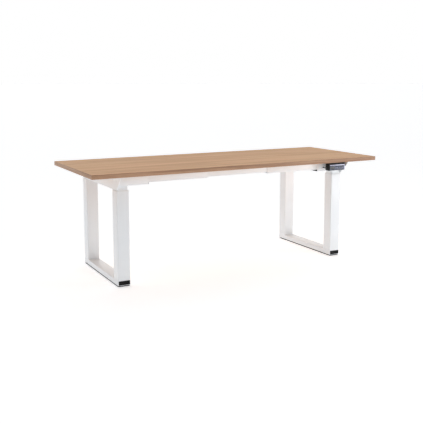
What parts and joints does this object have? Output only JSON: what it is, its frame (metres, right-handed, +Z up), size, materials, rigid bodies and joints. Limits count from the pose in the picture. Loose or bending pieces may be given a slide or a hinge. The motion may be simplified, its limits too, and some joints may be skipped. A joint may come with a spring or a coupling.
{
  "type": "height adjustable desk",
  "caption": "Electric sit-stand desk: wood-look top on a telescopic cross frame, carried by a white rectangular loop leg at each side, with a handset under the front edge.",
  "frame": {"origin": "on the floor under the middle of the table top, at the lowest height", "axes": "+X to the user's right along the top, +Y to the back, -Y the user's side with the handset, +Z up"},
  "size_m": [2, 0.75, 0.675],
  "materials": {
    "oak_laminate": "satin laminate with a fine straight oak grain",
    "oak_edge": "satin edge banding, a little darker than the top",
    "white_powder_coat": "smooth satin white powder coat",
    "white_plastic": "matt white",
    "black_plastic": "fine matt black",
    "zinc_steel": "zinc plated",
    "motor_metal": "dark grey, satin",
    "bronze": "machined bronze",
    "cable_rubber": "matt black sheath",
    "handset_face": "dark blue grey, glossy",
    "satin_trim": "bright satin",
    "display_glass": "polished black",
    "button_plastic": "glossy blue grey"
  },
  "bodies": {
    "base_left": {"foot_bar_left": "white_powder_coat", "foot_caps_left": "black_plastic", "outer_columns_left": "white_powder_coat", "column_collars_left": "white_plastic", "lift_nuts_left": "bronze"},
    "base_right": {"foot_bar_right": "white_powder_coat", "foot_caps_right": "black_plastic", "outer_columns_right": "white_powder_coat", "column_collars_right": "white_plastic", "lift_nuts_right": "bronze"},
    "desk_frame": {"top_board": "oak_laminate", "edge_band": "oak_edge", "side_arm_left": "white_powder_coat", "side_arm_right": "white_powder_coat", "motor_housing_front_left": "white_powder_coat", "motor_housing_front_right": "white_powder_coat", "motor_housing_rear_left": "white_powder_coat", "motor_housing_rear_right": "white_powder_coat", "housing_caps": "black_plastic", "outer_rail_front_left": "white_powder_coat", "outer_rail_front_right": "white_powder_coat", "outer_rail_rear_left": "white_powder_coat", "outer_rail_rear_right": "white_powder_coat", "inner_rail_front": "white_powder_coat", "inner_rail_rear": "white_powder_coat", "rail_clamp_screws": "zinc_steel", "frame_bolts": "zinc_steel", "top_screws": "zinc_steel", "inner_column_front_left": "white_powder_coat", "inner_column_front_right": "white_powder_coat", "inner_column_rear_left": "white_powder_coat", "inner_column_rear_right": "white_powder_coat", "column_sliders": "black_plastic", "gear_motor_front_left": "motor_metal", "gear_motor_front_right": "motor_metal", "gear_motor_rear_left": "motor_metal", "gear_motor_rear_right": "motor_metal", "control_box": "black_plastic", "mains_inlet": "black_plastic", "motor_cables": "cable_rubber", "handset_cable": "cable_rubber", "cable_clips": "black_plastic", "handset_body": "black_plastic", "handset_panel": "handset_face", "handset_trim": "satin_trim", "handset_display": "display_glass"},
    "lead_screw_front_left": {"lead_screw_front_left": "zinc_steel"},
    "lead_screw_front_right": {"lead_screw_front_right": "zinc_steel"},
    "lead_screw_rear_left": {"lead_screw_rear_left": "zinc_steel"},
    "lead_screw_rear_right": {"lead_screw_rear_right": "zinc_steel"},
    "glide_front_left": {"glide_front_left": "black_plastic"},
    "glide_front_right": {"glide_front_right": "black_plastic"},
    "glide_rear_left": {"glide_rear_left": "black_plastic"},
    "glide_rear_right": {"glide_rear_right": "black_plastic"},
    "button_down": {"button_down": "button_plastic"},
    "button_up": {"button_up": "button_plastic"},
    "button_memory_1": {"button_memory_1": "button_plastic"},
    "button_memory_2": {"button_memory_2": "button_plastic"},
    "button_memory_3": {"button_memory_3": "button_plastic"}
  },
  "joints": [
    {"name": "lift", "type": "slide", "parent": "base_left", "child": "desk_frame", "axis": [0, 0, 1], "range_m": [0, 0.425]},
    {"name": "right_leg_lift", "type": "slide", "parent": "desk_frame", "child": "base_right", "axis": [0, 0, -1], "range_m": [0, 0.425]},
    {"name": "lead_screw_front_left_turn", "type": "hinge", "parent": "desk_frame", "child": "lead_screw_front_left", "pos_m": [-0.7905, -0.2525, 0.6], "axis": [0, 0, 1], "range_deg": [0, 19131]},
    {"name": "lead_screw_front_right_turn", "type": "hinge", "parent": "desk_frame", "child": "lead_screw_front_right", "pos_m": [0.7345, -0.2525, 0.6], "axis": [0, 0, 1], "range_deg": [0, 19131]},
    {"name": "lead_screw_rear_left_turn", "type": "hinge", "parent": "desk_frame", "child": "lead_screw_rear_left", "pos_m": [-0.7905, 0.2925, 0.6], "axis": [0, 0, 1], "range_deg": [0, 19131]},
    {"name": "lead_screw_rear_right_turn", "type": "hinge", "parent": "desk_frame", "child": "lead_screw_rear_right", "pos_m": [0.7345, 0.2925, 0.6], "axis": [0, 0, 1], "range_deg": [0, 19131]},
    {"name": "glide_front_left_adjust", "type": "slide", "parent": "base_left", "child": "glide_front_left", "axis": [0, 0, -1], "range_m": [0, 0.012]},
    {"name": "glide_front_right_adjust", "type": "slide", "parent": "base_right", "child": "glide_front_right", "axis": [0, 0, -1], "range_m": [0, 0.012]},
    {"name": "glide_rear_left_adjust", "type": "slide", "parent": "base_left", "child": "glide_rear_left", "axis": [0, 0, -1], "range_m": [0, 0.012]},
    {"name": "glide_rear_right_adjust", "type": "slide", "parent": "base_right", "child": "glide_rear_right", "axis": [0, 0, -1], "range_m": [0, 0.012]},
    {"name": "button_down_press", "type": "slide", "parent": "desk_frame", "child": "button_down", "axis": [0, 1, 0], "range_m": [0, 0.001], "stiffness_N_per_m": 900, "springref_m": -0.0005},
    {"name": "button_up_press", "type": "slide", "parent": "desk_frame", "child": "button_up", "axis": [0, 1, 0], "range_m": [0, 0.001], "stiffness_N_per_m": 900, "springref_m": -0.0005},
    {"name": "button_memory_1_press", "type": "slide", "parent": "desk_frame", "child": "button_memory_1", "axis": [0, 1, 0], "range_m": [0, 0.001], "stiffness_N_per_m": 900, "springref_m": -0.0005},
    {"name": "button_memory_2_press", "type": "slide", "parent": "desk_frame", "child": "button_memory_2", "axis": [0, 1, 0], "range_m": [0, 0.001], "stiffness_N_per_m": 900, "springref_m": -0.0005},
    {"name": "button_memory_3_press", "type": "slide", "parent": "desk_frame", "child": "button_memory_3", "axis": [0, 1, 0], "range_m": [0, 0.001], "stiffness_N_per_m": 900, "springref_m": -0.0005}
  ],
  "couplings": [
    {"joint": "right_leg_lift", "follows": "lift", "ratio": 1},
    {"joint": "lead_screw_front_left_turn", "follows": "lift", "rad_per_m": 785.4},
    {"joint": "lead_screw_front_right_turn", "follows": "lift", "rad_per_m": 785.4},
    {"joint": "lead_screw_rear_left_turn", "follows": "lift", "rad_per_m": 785.4},
    {"joint": "lead_screw_rear_right_turn", "follows": "lift", "rad_per_m": 785.4}
  ]
}
